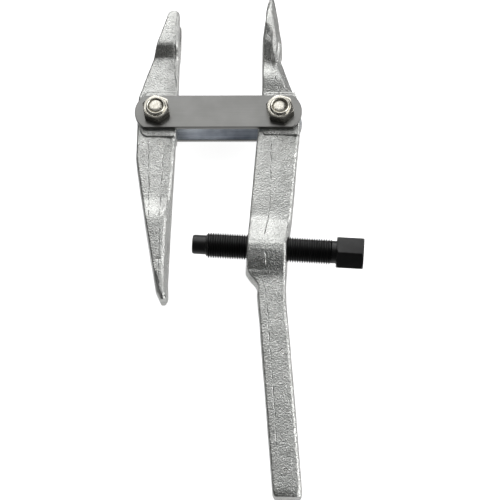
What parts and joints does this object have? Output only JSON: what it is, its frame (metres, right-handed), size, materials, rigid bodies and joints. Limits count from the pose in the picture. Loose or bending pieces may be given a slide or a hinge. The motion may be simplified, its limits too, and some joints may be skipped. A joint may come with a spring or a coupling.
{
  "type": "ball joint separator",
  "caption": "Two-arm ball joint separator: a forged fork arm and a long lever arm hinged between link plates, closed by a pressure screw.",
  "frame": {"origin": "centre of the rear face of the lever arm's pivot bolt head, on the plane the tool rests on when it lies on its back", "axes": "+Y towards the jaw tips, +X across the jaws towards the screw head, +Z through the link plates towards the lock nuts"},
  "size_m": [0.1459, 0.334, 0.0352],
  "materials": {
    "zinc_plated_forging": "shot-blasted forging with bright zinc plating",
    "satin_plated_plate": "satin plated flat steel",
    "plated_fastener": "zinc-nickel plated steel",
    "white_nylon": "moulded nylon",
    "black_oxide_steel": "black oxide, lightly oiled",
    "hardened_ball": "ground bearing steel"
  },
  "bodies": {
    "link_frame": {"front_link_plate": "satin_plated_plate", "rear_link_plate": "satin_plated_plate", "fork_pivot_bolt": "plated_fastener", "lever_pivot_bolt": "plated_fastener", "fork_lock_nut": "plated_fastener", "lever_lock_nut": "plated_fastener", "fork_nut_insert": "white_nylon", "lever_nut_insert": "white_nylon"},
    "fork_arm": {"fork_arm": "zinc_plated_forging"},
    "lever_arm": {"lever_arm": "zinc_plated_forging"},
    "screw_thrust": {"thrust_ball": "hardened_ball"},
    "pressure_screw": {"pressure_screw": "black_oxide_steel"}
  },
  "joints": [
    {"name": "fork_arm_pivot", "type": "hinge", "parent": "link_frame", "child": "fork_arm", "pos_m": [-0.079, 0, 0.0168], "axis": [0, 0, -1], "range_deg": [0, 22]},
    {"name": "lever_arm_pivot", "type": "hinge", "parent": "link_frame", "child": "lever_arm", "pos_m": [0, 0, 0.0168], "axis": [0, 0, 1], "range_deg": [0, 18]},
    {"name": "screw_feed", "type": "slide", "parent": "lever_arm", "child": "screw_thrust", "axis": [-0.9981, 0.061, 0], "range_m": [-0.0315, 0.012]},
    {"name": "screw_spin", "type": "hinge", "parent": "screw_thrust", "child": "pressure_screw", "pos_m": [-0.0545, -0.088, 0.0168], "axis": [-0.9981, 0.061, 0], "range_deg": [-7560, 2880]}
  ],
  "couplings": [
    {"joint": "screw_spin", "follows": "screw_feed", "rad_per_m": 4188.8}
  ]
}
